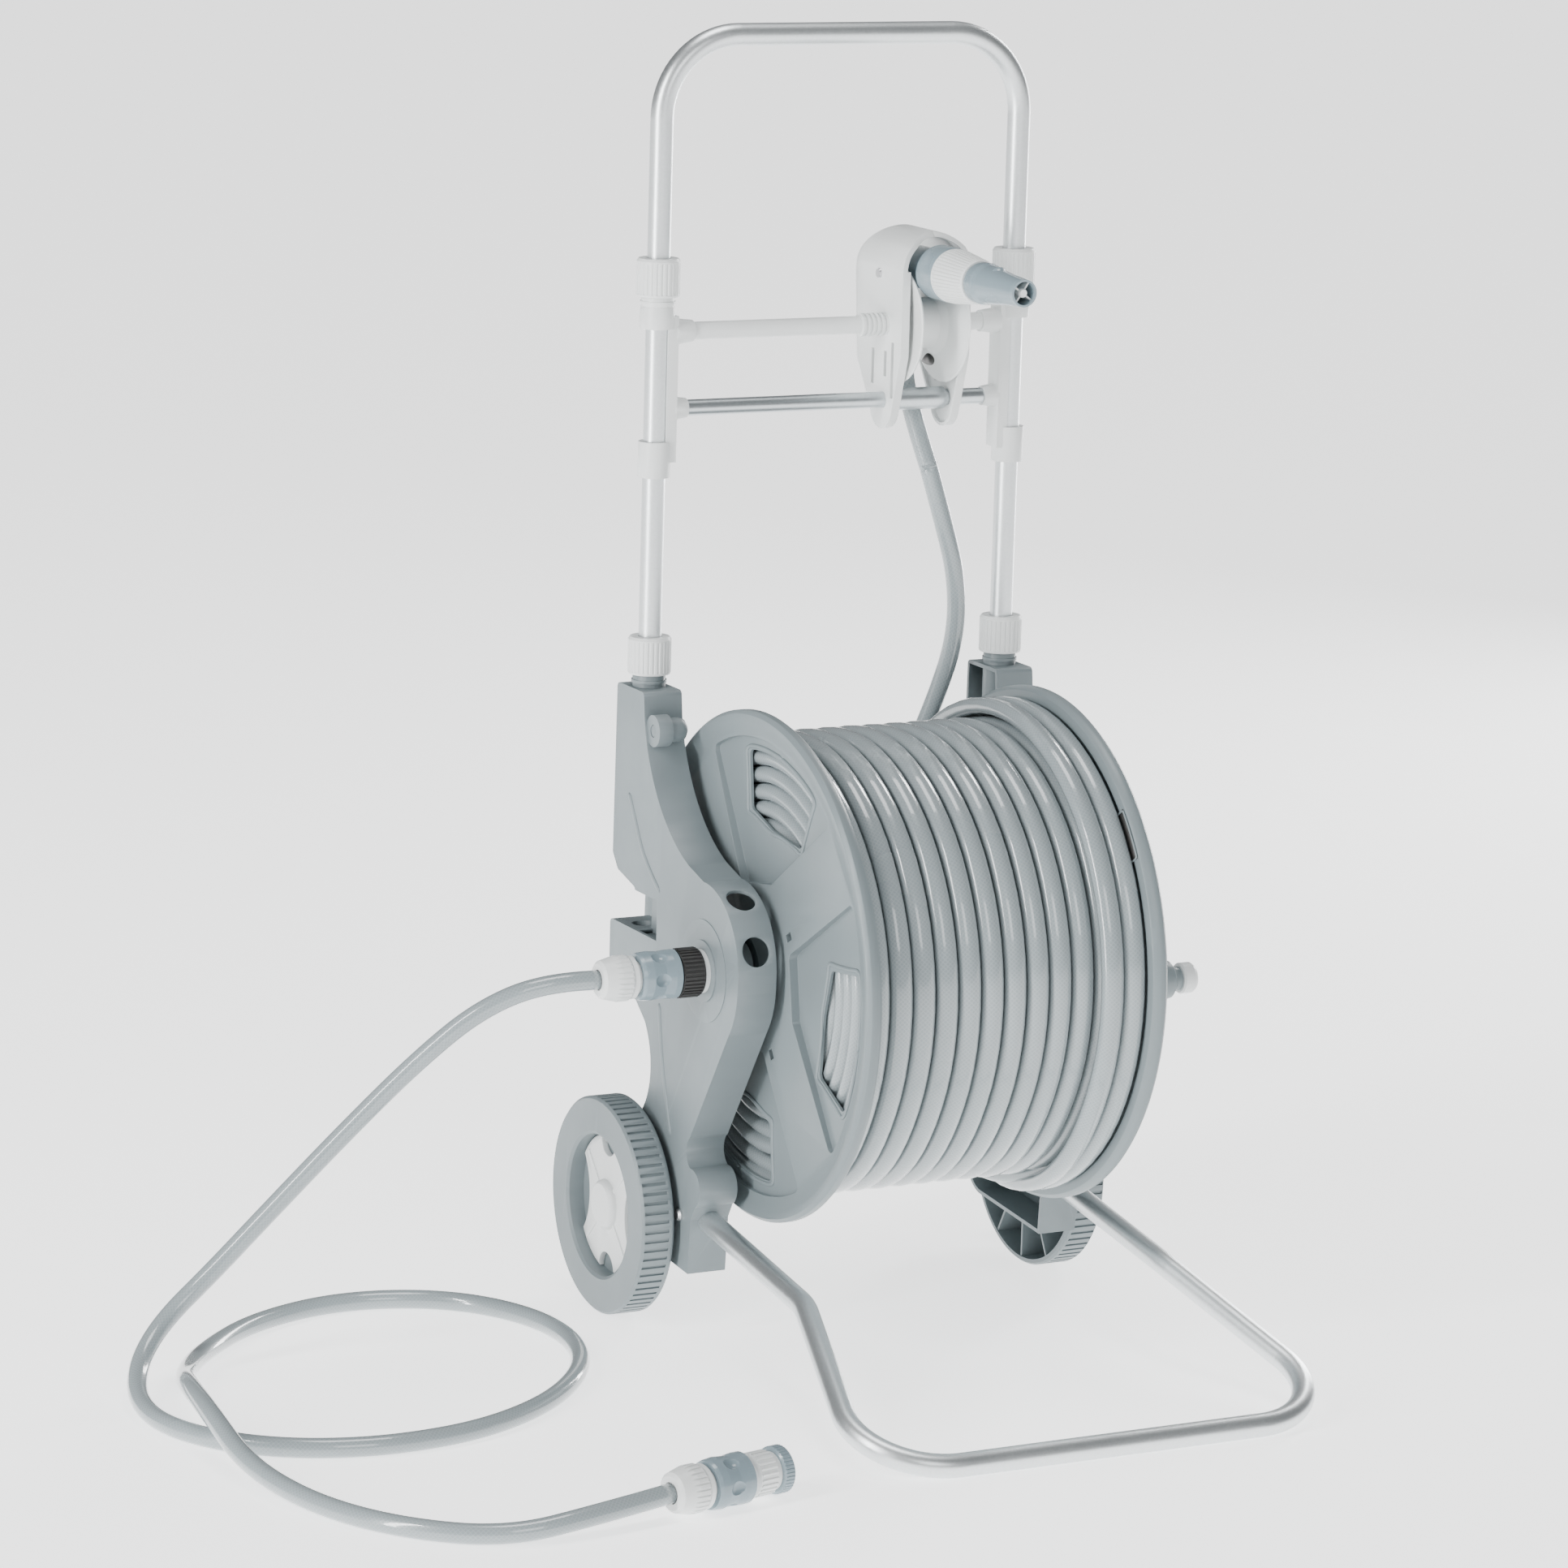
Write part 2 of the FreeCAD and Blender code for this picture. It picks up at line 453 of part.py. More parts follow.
def nozzle_elbow():
    """Hose tail that turns from the nozzle's back down to the hose behind the pulley."""
    corner = V(GUIDE_X, HOSE_BACK_Y, NOZZLE_Z)
    points = [V(GUIDE_X, NOZZLE_BACK, NOZZLE_Z), corner, V(GUIDE_X, HOSE_BACK_Y, DROP_UPPER[0].z + 0.5)]
    path = rounded_path(points, 18)[0]
    return swept(path, points, HOSE_R + 0.4)


# ---- reel ------------------------------------------------------------------------------------------------
def sector(x, thickness, outer, corners):
    """Plate with an outer arc about the reel axis, (radius, from, to), and (radius, angle) inner corners;
    angles count from the top towards the front."""
    def at(radius, degrees):
        swing = math.radians(degrees)
        return V(x, -radius * math.sin(swing), REEL_Z + radius * math.cos(swing))
    radius, a, b = outer
    points = [at(radius, b)] + [at(*corner) for corner in corners] + [at(radius, a)]
    edges = [Part.Arc(at(radius, a), at(radius, (a + b) / 2), at(radius, b)).toShape()]
    edges += [Part.LineSegment(p, q).toShape() for p, q in zip(points, points[1:])]
    solid = Part.Face(Part.Wire(edges)).extrude(V(thickness, 0, 0))
    return solid.makeFillet(5.0, along_x(solid))


def flange(radius, outside, hub_end):
    """Right flange: rolled rim, four raised spokes and four windows in sunk panels."""
    inside = outside - (FLANGE_OUT - FLANGE_IN)
    centre = V(0, 0, REEL_Z)
    profile = [
        (HUB_R, inside), (radius - 14, inside), (radius - 10, inside - 3), (radius - 3, inside - 2),
        (radius, inside + 2), (radius, outside - 3), (radius - 3, outside), (radius - 9, outside - 0.6),
        (radius - 16, outside - 4), (120, outside - 2), (44, outside), (32, hub_end - 3), (26, hub_end),
        (HUB_R, hub_end)]
    solid = turned(profile, centre, X_AXIS)
    panel = sector(inside + 2.6, 40, (178, -28, 41), [(76, 22), (66, -20)])
    window = sector(inside - 5, 60, (WINDOW_R, -10, 29), [(122, 31), (110, 7), (122, -11)])
    notch = block(V(outside - 8, -3, REEL_Z + 67), V(outside + 2, 3, REEL_Z + 75))
    for cutter, first in ((panel, 0), (window, 0), (notch, SPOKE_ANGLE)):
        solid = solid.cut(around(cutter, centre, X_AXIS, 4, first))
    return solid


def drum():
    solid = ring(V(-FLANGE_IN - LEFT_SHIFT, 0, REEL_Z), X_AXIS, 2 * FLANGE_IN + LEFT_SHIFT, DRUM_R - 0.5,
                 DRUM_R - 4)
    spider = block(V(-2, -DRUM_R + 2, REEL_Z - 1.5), V(2, DRUM_R - 2, REEL_Z + 1.5))
    arms = around(spider, V(0, 0, REEL_Z), X_AXIS, 2)
    return solid.fuse(arms.cut(rod(V(-20, 0, REEL_Z), X_AXIS, 40, HUB_R)))


def hose_winding():
    full = ring(V(-FLANGE_IN - LEFT_SHIFT + 0.5, 0, REEL_Z), X_AXIS, 2 * FLANGE_IN + LEFT_SHIFT - 1, WIND_R,
                DRUM_R)
    last = ring(V(LAST_TURN_X[0], 0, REEL_Z), X_AXIS, LAST_TURN_X[1] - LAST_TURN_X[0], LAST_TURN_R,
                WIND_R - 1)
    return full.fuse(last)


def hub_shaft():
    shaft = rod(V(-161, 0, REEL_Z), X_AXIS, 161 + 196, HUB_R)
    return shaft.cut(rod(V(-170, 0, REEL_Z), X_AXIS, 70, TUBE_R + SLIDE_GAP))


def crank_parts():
    hub = V(178, 0, REEL_Z)
    pin = V(190, CRANK_Y, CRANK_Z)
    reach = pin - V(190, 0, REEL_Z)
    side = V(0, -reach.z, reach.y).normalize()
    middle = pin - reach
    corners = [middle + side * 13, pin + side * 10, pin - side * 10, middle - side * 13]
    web = Part.Face(Part.makePolygon(corners + corners[:1])).extrude(V(11, 0, 0))
    arm = web.multiFuse([rod(hub, X_AXIS, 23, 21), rod(pin, X_AXIS, 11, 14)])
    slot = block(V(198, 28, REEL_Z - 4), V(205, 86, REEL_Z + 4))
    slot.rotate(V(0, 0, REEL_Z), X_AXIS, math.degrees(math.atan2(reach.z, reach.y)))
    arm = arm.cut(slot).cut(rod(V(170, 0, REEL_Z), X_AXIS, 26, HUB_R))
    arm = arm.fuse(rod(pin, X_AXIS, 308 - pin.x, 5))
    screw = turned([(0, 0), (7, 0), (7, 2), (4, 4), (0, 4)], V(201, 0, REEL_Z), X_AXIS)
    axis = V(0, CRANK_Y, CRANK_Z)
    bore = 5 + SLIDE_GAP
    grip = turned([(bore, GRIP_X[0]), (13, GRIP_X[0]), (15.5, 206), (17.5, 222), (18.2, 250), (17.5, 282),
                   (15.5, 292), (10.5, 296.5), (9.6, 302), (bore, 302)], axis, X_AXIS)
    cap = turned([(bore, 302), (11.5, 302), (12.7, 303.5), (12.7, 312.5), (11, GRIP_X[1]), (0, GRIP_X[1]),
                  (0, 309), (bore, 309)], axis, X_AXIS)
    return {"crank_arm": arm, "crank_screw": screw, "crank_grip": grip, "crank_grip_cap": cap}


# ---- water inlet and hose connectors ---------------------------------------------------------------------
def inlet_parts():
    def at(x):
        return V(x, 0, REEL_Z)
    spindle = ring(at(-205), X_AXIS, 98, TUBE_R, 5)
    for x in SEAL_X:
        spindle = spindle.cut(ring(at(x), X_AXIS, 2, TUBE_R + 1, TUBE_R - 1.6))
    collar = ring(at(-196.5), X_AXIS, 18.3, 18.2, TUBE_R)
    rib = rod(at(-195.5) + V(0, 0, 18.6), X_AXIS, 16, 0.8)
    collar = collar.fuse(around(rib, at(0), X_AXIS, 36))
    washer = ring(at(-178.2), X_AXIS, 4.2, 17.0, TUBE_R)
    seals = [ring(at(x), X_AXIS, 2, TUBE_R + 0.03, TUBE_R - 1.6) for x in SEAL_X]
    return {"inlet_spindle": spindle, "inlet_collar": collar, "inlet_washer": washer,
            "inlet_seals": Part.makeCompound(seals)}


def connector(prefix, origin, direction):
    """Hose connector: ribbed clamp nut, core and sliding release sleeve, from the hose's end outwards."""
    direction = V(direction).normalize()
    nut = turned([(HOSE_R + 0.4, 0), (12.5, 0), (14.8, 2), (17.8, 14), (17.8, 22), (16.5, 24),
                  (HOSE_R + 0.4, 24)], origin, direction)
    side = direction.cross(Z_AXIS).normalize()
    flute = Part.makeCylinder(1.1, 21, origin + direction * 3 + side * 17.9, direction)
    nut = nut.cut(around(flute, origin, direction, 26))
    core = turned([(0, 1), (HOSE_R, 1), (HOSE_R, 24.2), (16.6, 24.2), (16.6, 28), (13, 28), (13, 58),
                   (0, 58)], origin, direction)
    core = core.cut(Part.makeCylinder(5.5, 100, origin, direction)).cut(
        Part.makeCylinder(9.6, 30, origin + direction * 52, direction))
    sleeve = turned([(13.4, 31.4), (17.6, 31.4), (18.4, 34), (CONNECTOR_R, 40), (18.2, 50), (CONNECTOR_R, 58),
                     (CONNECTOR_R, 63), (17.6, 64), (13.4, 64)], origin, direction)
    dimple = Part.makeSphere(9, origin + direction * 47 + side * 25)
    sleeve = sleeve.cut(around(dimple, origin, direction, 6))
    return {prefix + "_nut": nut, prefix + "_core": core, prefix + "_sleeve": sleeve}


def tap_parts():
    def at(distance):
        return TAP_END + TAP_DIR * distance
    parts = connector("tap_connector", TAP_END, TAP_DIR)
    nipple = turned([(5.5, 53), (9.2, 53), (9.2, 66), (5.5, 66)], TAP_END, TAP_DIR)
    adapter = turned([(5.5, 66), (13.4, 66), (14.2, 68), (15.6, 70), (15.6, 86), (14.2, 87), (14.2, 90),
                      (12.4, 90), (12.4, 74), (5.5, 74)], TAP_END, TAP_DIR).fuse(nipple)
    side = TAP_DIR.cross(Z_AXIS)
    rib = Part.makeCylinder(0.9, 14, at(71) + side * 15.7, TAP_DIR)
    parts["tap_adapter"] = adapter.fuse(around(rib, TAP_END, TAP_DIR, 24))
    parts["tap_seal"] = turned([(7.5, 74.1), (12.3, 74.1), (12.3, 77), (7.5, 77)], TAP_END, TAP_DIR)
    rim = turned([(12.1, 90.2), (16.0, 90.2), (17.6, 91.5), (17.6, 99), (16.4, 100), (12.1, 100)],
                 TAP_END, TAP_DIR)
    notch = Part.makeCylinder(0.8, 20, at(88) + side * 17.9, TAP_DIR)
    parts["tap_rim"] = rim.cut(around(notch, TAP_END, TAP_DIR, 40))
    return parts


# ---- the whole cart --------------------------------------------------------------------------------------
def cart():
    parts = side_frames()
    parts["reel_lock_knob"] = reel_lock_knob()
    parts["foot_tube"] = foot_tube()
    parts["foot_screws"] = foot_screws()
    parts["wheel_axles"] = wheel_axles()
    parts.update(pair("wheel", wheel()))
    parts.update(pair("wheel_hub", wheel_hub()))
    parts["handle_tube"] = handle_tube()
    parts["handle_plugs"] = handle_plugs()
    parts.update(pair("lower_nut", lock_nut(LOWER_NUT_Z)))
    parts.update(pair("upper_nut", lock_nut(UPPER_NUT_Z)))
    parts["lower_collets"] = collets(LOWER_NUT_Z)
    parts["upper_collets"] = collets(UPPER_NUT_Z)
    parts.update(pair("bracket", bracket()))
    parts.update(cross_rods())
    parts.update(guide_parts())
    parts["hose_pulley"] = hose_pulley()
    parts["guide_roller"] = guide_roller()
    parts.update(nozzle_parts())
    parts["nozzle_elbow"] = nozzle_elbow()
    parts["flange_right"] = flange(FLANGE_R, FLANGE_OUT, 135)
    parts["flange_left"] = mirrored(flange(LEFT_FLANGE_R, FLANGE_OUT + LEFT_SHIFT, 137.5))
    parts["drum"] = drum()
    parts["hose_winding"] = hose_winding()
    parts["hub_shaft"] = hub_shaft()
    parts.update(crank_parts())
    parts.update(inlet_parts())
    parts.update(connector("inlet_connector", V(INLET_HOSE_X, 0, REEL_Z), X_AXIS))
    parts.update(tap_parts())
    parts["drop_hose_upper"] = hose("drop_hose_upper", DROP_UPPER)
    parts["drop_hose_lower"] = hose("drop_hose_lower", DROP_LOWER)
    parts["lead_hose"] = hose("lead_hose", LEAD_ROUTE)
    return parts


def write(name, shape):
    shape = shape.copy()
    shape.translate(TO_ORIGIN)
    box = shape.BoundBox
    print("%-22s solids %d valid %s volume %.0f box x %.1f %.1f y %.1f %.1f z %.1f %.1f" % (
        name, len(shape.Solids), shape.isValid(), shape.Volume,
        box.XMin, box.XMax, box.YMin, box.YMax, box.ZMin, box.ZMax))
    shape.exportStep("parts/" + name + ".step")


for part_name, part_shape in cart().items():
    write(part_name, part_shape)
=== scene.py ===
"""Looks of the garden hose reel cart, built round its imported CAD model.

Blender works in metres, in the CAD's own frame. at(x, y, z) takes the millimetres that the cart is drawn in:
x = 0 on the frame's mid-plane, y = 0 on the reel axis (front towards -y), z = 0 on the ground.
"""
import json
import math
import random

import bmesh
import bpy
from mathutils import Matrix, Vector


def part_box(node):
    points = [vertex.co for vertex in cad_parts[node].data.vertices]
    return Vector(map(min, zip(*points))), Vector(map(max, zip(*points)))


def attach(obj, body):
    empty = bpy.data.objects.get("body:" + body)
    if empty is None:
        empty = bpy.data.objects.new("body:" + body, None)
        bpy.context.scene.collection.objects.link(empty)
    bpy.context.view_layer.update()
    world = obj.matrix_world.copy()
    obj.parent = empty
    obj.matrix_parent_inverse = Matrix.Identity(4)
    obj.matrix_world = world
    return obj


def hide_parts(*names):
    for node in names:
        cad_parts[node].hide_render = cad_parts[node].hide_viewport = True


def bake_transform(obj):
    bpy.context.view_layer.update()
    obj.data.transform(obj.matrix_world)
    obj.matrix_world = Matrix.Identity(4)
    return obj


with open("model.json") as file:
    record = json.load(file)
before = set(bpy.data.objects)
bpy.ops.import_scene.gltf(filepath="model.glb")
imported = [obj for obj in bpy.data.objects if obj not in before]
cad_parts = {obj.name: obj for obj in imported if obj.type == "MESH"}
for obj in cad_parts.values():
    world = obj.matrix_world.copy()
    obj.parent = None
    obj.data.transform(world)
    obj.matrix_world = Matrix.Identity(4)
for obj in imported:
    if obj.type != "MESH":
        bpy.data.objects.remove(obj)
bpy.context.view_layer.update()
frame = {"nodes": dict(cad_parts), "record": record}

NODES = frame["nodes"]
SCENE = bpy.context.scene
MM = 0.001

# ---- the photograph's view: degrees, millimetres for lens and sensor, metres ----------------------------
YAW, PITCH, ROLL = -26.622, 11.8, 1.631
LENS, SENSOR = 132.87, 36
VIEW_TARGET = (-0.16254, 0.0825, 0.44187)
VIEW_DISTANCE = 4.43255

# ---- the cart's own dimensions, in millimetres unless a comment says metres -----------------------------
HANDLE_LOW, HANDLE_HIGH = (Vector(corner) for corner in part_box("handle_tube"))      # metres
DRUM_LOW, DRUM_HIGH = (Vector(corner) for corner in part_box("drum"))                 # metres
MID_X = (HANDLE_LOW.x + HANDLE_HIGH.x) / 2         # the frame's mid-plane, in metres
AXIS_Y = (DRUM_LOW.y + DRUM_HIGH.y) / 2            # the reel axis, in metres
REEL_Z = (DRUM_LOW.z + DRUM_HIGH.z) / 2 / MM
FRAME_OUT = 172.0                                  # outer faces of the two side frames
GUIDE_X, LEG_Y, PULLEY_Z = 72.5, 145.0, 773.0      # hose guide's middle, handle's legs, pulley's axis

# ---- free hoses: control points of their runs -----------------------------------------------------------
HOSE_R = 7.6
HOSE_BACK_Y = 173.2                                # the hose's middle where it leaves the guide
INLET_HOSE_X = -261.0                              # the lead hose's end in the inlet connector
ON_GROUND, OVER = 7.8, 30.0                        # heights of the hose on the ground and over another
LEAD_ROUTE = [
    (INLET_HOSE_X, 0, REEL_Z), (-303, 1, 302), (-352, 14, 282), (-396, 31, 241), (-448, 49, 184),
    (-500, 64, 126), (-544, 74, 78), (-581, 71, 48), (-609, 49, 27), (-626, 14, 13),
    (-631, -28, ON_GROUND), (-623, -72, ON_GROUND), (-597, -114, ON_GROUND), (-552, -146, ON_GROUND),
    (-488, -161, ON_GROUND), (-408, -149, ON_GROUND), (-328, -98, ON_GROUND), (-270, -16, ON_GROUND),
    (-260, 78, ON_GROUND), (-304, 158, ON_GROUND), (-388, 188, ON_GROUND), (-476, 160, ON_GROUND),
    (-545, 92, 10), (-585, 22, 18), (-603, -38, OVER), (-612, -108, OVER), (-612, -180, 14),
    (-594, -258, ON_GROUND), (-556, -330, ON_GROUND), (-494, -376, ON_GROUND), (-424, -376, 16),
    (-363, -362.6, 19.2)]
DROP_UPPER = [(GUIDE_X, HOSE_BACK_Y, 793.5), (GUIDE_X + 0.5, HOSE_BACK_Y + 0.5, 742), (80, 169, 700),
              (92.5, 157.5, 654)]
DROP_LOWER = [(91.5, 158.2, 658), (104, 152, 612), (117, 150, 565), (121, 156, 515), (112, 170, 463),
              (99, 186, 412), (93, 197, 362)]
DROP_TAIL = [(93.4, 196.4, 364), (92, 196.6, 335), (94, 196.2, 300), (97, 188, 262), (99, 170, 219),
             (99.2, 139, 173)]
TUBE_SIDES = 18

# ---- the hose on the reel -------------------------------------------------------------------------------
DRUM_R = 101.0
WIND_FROM, WIND_TO = -120.4, 111.4                 # the reel is filled between its flanges
LAYERS, TURNS = 6, 12                              # layers of hose, turns in one layer
LAYER_STEP = 13.2                                  # radial height of one flattened layer
LAST_TURN_R = 188.6
LAST_TURN_XS = (80.9, 99.6)
TURN_WIDE, TURN_HIGH = 8.85, 6.7                   # half sizes of a flattened turn
TURN_FULLNESS = 0.9                                # an exponent below 1 makes its section fuller than an oval
TURN_SIDES, TURN_STEPS = 14, 66                    # points in its section, sections in one turn
FIRST_BEARING = -60                                # degrees, where the run starts
CROSSING = 0.26                                    # share of a turn that moves over to the next seat
SLACK_R, SLACK_X = 0.25, 0.12                      # how far a turn may lie off its seat

# ---- ribs and lips on the CAD parts, and painted shade for a slot and a hole ----------------------------
RIB_SIDES, RIB_TIP = 10, 0.3                       # points in a rib's section, its share of size at the ends
FRAME_RIBS = [                                     # (y, z) along the sweeps on the side frames
    [(142, 411), (128, 389), (111, 363), (82, 344)],
    [(78, 256), (74, 226), (66, 195), (52, 156)]]
SPOKE_FACES = {"flange_left": -131.3, "flange_right": 122.3}     # spokes' outer faces near the hub
PANEL_SINK = 7.9                                   # how far the windows' panels lie below the spokes
WINDOW_LIP = [                                     # (radius, degrees) round one window of a flange
    (170, 9), (170, 16), (170, 23), (170, 28), (168, 30.6), (158, 30.6), (142, 31.2), (128, 32),
    (119, 33.2), (116, 27), (111, 15), (107, 7), (111, -2), (116, -9), (119, -14), (128, -13),
    (142, -12.2), (158, -11.6), (168, -11.6), (170, -9), (170, -4), (170, 2), (170, 9)]
# the rim slot: a black piece between these angles, radii and xs, painted shade for its dark opening, with a
# lip round it
SLOT_ANGLES, SLOT_RADII, SLOT_XS = (46.5, 58.5), (187.5, 198.0), (108.7, 111.0)
SLOT_STEPS = 8
DISC_FROM, DISC_SLOPE = (25.0, 13.5), 0.274        # pulley's right disc, a cone: (radius, x from the middle)
# black teardrop on the pulley's disc: painted shade for its dark opening
TEARDROP = [(30, -35), (18, -36.5), (4, -35), (-2, -29), (5, -25), (16, -27), (30, -35)]     # (y, z)
TEARDROP_DEPTHS = (-0.3, 0.6)                      # its two faces, measured in x from the cone

# ---- rounded edges of the CAD parts ---------------------------------------------------------------------
SOFT_EDGES = {
    "side_frame_left": 2.6, "side_frame_right": 2.6, "wheel_left": 0.5, "wheel_right": 0.5,
    "wheel_hub_left": 0.8, "wheel_hub_right": 0.8, "flange_left": 1.4, "flange_right": 1.4,
    "bracket_left": 0.8, "bracket_right": 0.8, "guide_side_left": 0.7, "guide_side_right": 0.7,
    "crank_arm": 1.0, "reel_lock_knob": 0.8,
}
SAME_POINT = 0.01                                  # vertices this near are one
FLAT_BELOW, SHARP_ABOVE = 1.0, 38                  # degrees between faces


def at(x, y, z):
    return Vector((MID_X + x * MM, AXIS_Y + y * MM, z * MM))


def round_angles(count):
    return [2 * math.pi * i / count for i in range(count)]


# ---- materials ------------------------------------------------------------------------------------------
class Look:
    """A material being built: its node tree, its shader and a few ready-made detail nodes."""

    def __init__(self, name, metallic=0.0, coat=0.0):
        self.material = bpy.data.materials.new(name)
        self.material.use_nodes = True
        self.tree = self.material.node_tree
        self.shader = self.tree.nodes["Principled BSDF"]
        self.shader.inputs["Metallic"].default_value = metallic
        self.shader.inputs["Coat Weight"].default_value = coat
        self.shader.inputs["Coat Roughness"].default_value = 0.06
        self.place = self.tree.nodes.new("ShaderNodeTexCoord").outputs["Object"]

    def node(self, kind, **settings):
        made = self.tree.nodes.new("ShaderNode" + kind)
        for key, value in settings.items():
            setattr(made, key, value)
        return made

    def feed(self, socket, source):
        if isinstance(source, bpy.types.NodeSocket):
            self.tree.links.new(source, socket)
        else:
            socket.default_value = source

    def noise(self, scale, detail=2.0, stretch=(1, 1, 1)):
        mapping = self.node("Mapping")
        self.feed(mapping.inputs["Vector"], self.place)
        mapping.inputs["Scale"].default_value = stretch
        noise = self.node("TexNoise")
        self.feed(noise.inputs["Vector"], mapping.outputs["Vector"])
        noise.inputs["Scale"].default_value = scale
        noise.inputs["Detail"].default_value = detail
        return noise.outputs["Fac"]

    def remap(self, value, low, high, to_low, to_high):
        node = self.node("MapRange")
        self.feed(node.inputs["Value"], value)
        for key, number in (("From Min", low), ("From Max", high), ("To Min", to_low), ("To Max", to_high)):
            node.inputs[key].default_value = number
        return node.outputs["Result"]

    def mix(self, factor, first, second):
        node = self.node("Mix", data_type="RGBA")
        self.feed(node.inputs[0], factor)
        self.feed(node.inputs[6], first)
        self.feed(node.inputs[7], second)
        return node.outputs[2]

    def maths(self, operation, *values):
        node = self.node("Math", operation=operation)
        for socket, value in zip(node.inputs, values):
            self.feed(socket, value)
        return node.outputs[0]

    def bump(self, height, strength, distance):
        node = self.node("Bump")
        self.feed(node.inputs["Height"], height)
        node.inputs["Strength"].default_value = strength
        node.inputs["Distance"].default_value = distance
        self.feed(self.shader.inputs["Normal"], node.outputs["Normal"])

    def tinted(self, colour, spread):
        """Slow drift of a colour over the surface, as uneven mouldings have."""
        darker = tuple(c * (1 - spread) for c in colour) + (1,)
        lighter = tuple(min(1, c * (1 + spread)) for c in colour) + (1,)
        return self.mix(self.remap(self.noise(7, 3), 0.35, 0.65, 0, 1), darker, lighter)

    def worn_edges(self, colour, lighter, amount):
        """Rubbed, paler convex edges."""
        edge = self.node("NewGeometry").outputs["Pointiness"]
        scuffs = self.maths("MULTIPLY", self.remap(edge, 0.51, 0.56, 0, amount), self.noise(60, 4))
        return self.mix(scuffs, colour, lighter + (1,))


def moulded(name, colour, roughness, coat=0.0, wear=0.5):
    """Moulded plastic: fine grain, uneven sheen, slightly paler rubbed edges."""
    look = Look(name, coat=coat)
    pale = tuple(min(1, c * 1.25 + 0.03) for c in colour)
    look.feed(look.shader.inputs["Base Color"], look.worn_edges(look.tinted(colour, 0.035), pale, wear))
    look.feed(look.shader.inputs["Roughness"],
              look.remap(look.noise(28, 4), 0.3, 0.7, roughness - 0.05, roughness + 0.06))
    look.bump(look.noise(900, 3), 0.12, 0.0002)
    return look.material


def drawn_metal(name, colour, roughness, stretch):
    """Bare metal with fine marks; stretch says how fine they are along each axis."""
    look = Look(name, metallic=1.0)
    marks = look.noise(1, 3, stretch)
    look.feed(look.shader.inputs["Base Color"], look.mix(
        look.remap(marks, 0.3, 0.7, 0, 1), tuple(c * 0.93 for c in colour) + (1,), colour + (1,)))
    look.feed(look.shader.inputs["Roughness"], look.remap(
        look.maths("ADD", marks, look.noise(16, 3)), 0.7, 1.3, roughness - 0.02, roughness + 0.03))
    look.bump(marks, 0.04, 0.0001)
    return look.material


def hose_skin():
    """Glossy PVC over a fine crossed braid; the UVs are metres along and round the hose."""
    braid_step = 0.0034
    look = Look("hose_skin", coat=1.0)
    split = look.node("SeparateXYZ")
    look.feed(split.inputs[0], look.node("UVMap").outputs["UV"])
    waves = []
    for lean in (1, -1):
        diagonal = look.maths("MULTIPLY_ADD", split.outputs["Y"], lean, split.outputs["X"])
        waves.append(look.maths("SINE", look.maths("MULTIPLY", diagonal, 2 * math.pi / braid_step)))
    threads = look.maths("MAXIMUM", *waves)
    on_thread = look.remap(threads, 0.55, 1.0, 0, 1)
    base = look.tinted((0.265, 0.308, 0.322), 0.02)
    look.feed(look.shader.inputs["Base Color"], look.mix(
        look.maths("MULTIPLY", on_thread, 0.35), base, (0.42, 0.465, 0.48, 1)))
    look.feed(look.shader.inputs["Roughness"], look.remap(look.noise(14, 2), 0.3, 0.7, 0.24, 0.28))
    look.bump(threads, 0.1, 0.0002)
    return look.material


def light_table():
    """White floor that is lit from below, so that the cart stands on an even, almost white ground."""
    look = Look("light_table")
    look.feed(look.shader.inputs["Base Color"], look.tinted((0.72, 0.73, 0.73), 0.01))
    look.shader.inputs["Roughness"].default_value = 0.8
    look.shader.inputs["Emission Color"].default_value = (1, 1, 1, 1)
    look.shader.inputs["Emission Strength"].default_value = 1.9
    return look.material


def make_materials():
    """One material for each slot of the record, and a darker copy of the aluminium for the lower cross rod:
    painted shade.
    """
    grey, reel, white = (0.178, 0.212, 0.224), (0.180, 0.216, 0.228), (0.76, 0.78, 0.775)
    return {
        "frame_grey": moulded("frame_plastic", grey, 0.42),
        "reel_grey": moulded("reel_plastic", reel, 0.38),
        "wheel_grey": moulded("wheel_plastic", grey, 0.45),
        "white_plastic": moulded("white_plastic", white, 0.38, wear=0.2),
        "blue_grey_plastic": moulded("blue_grey_plastic", (0.21, 0.275, 0.31), 0.25, coat=0.3),
        "black_plastic": moulded("black_plastic", (0.022, 0.021, 0.020), 0.4),
        "hose_pvc": hose_skin(),
        "aluminium": drawn_metal("aluminium", (0.76, 0.79, 0.80), 0.38, (500, 500, 500)),
        # darker copy of the aluminium: painted shade on the lower cross rod and its roller
        "aluminium_painted_shade": drawn_metal("aluminium_painted_shade", (0.60, 0.64, 0.66), 0.34, (500, 500, 500)),
        "steel": drawn_metal("zinc_steel", (0.62, 0.63, 0.64), 0.36, (300, 300, 300)),
        "brass": drawn_metal("turned_brass", (0.78, 0.62, 0.32), 0.3, (30, 800, 800)),
        "seal_rubber": moulded("seal_rubber", (0.03, 0.03, 0.03), 0.7),
    }


def finish_of(obj, name):
    """Gives a CAD part one material and no other."""
    obj.data.materials.clear()
    obj.data.materials.append(MATERIALS[name])


def dress_cad_nodes():
    """The record's slots on the CAD parts, and the darker aluminium on the lower cross rod and its roller:
    painted shade.
    """
    for part in frame["record"]["subparts"]:
        finish_of(NODES[part["node"]], part["material_slot"])
    # the lower cross rod and its roller get the darker aluminium: painted shade
    for name in ("guide_rod_lower", "guide_roller"):
        finish_of(NODES[name], "aluminium_painted_shade")


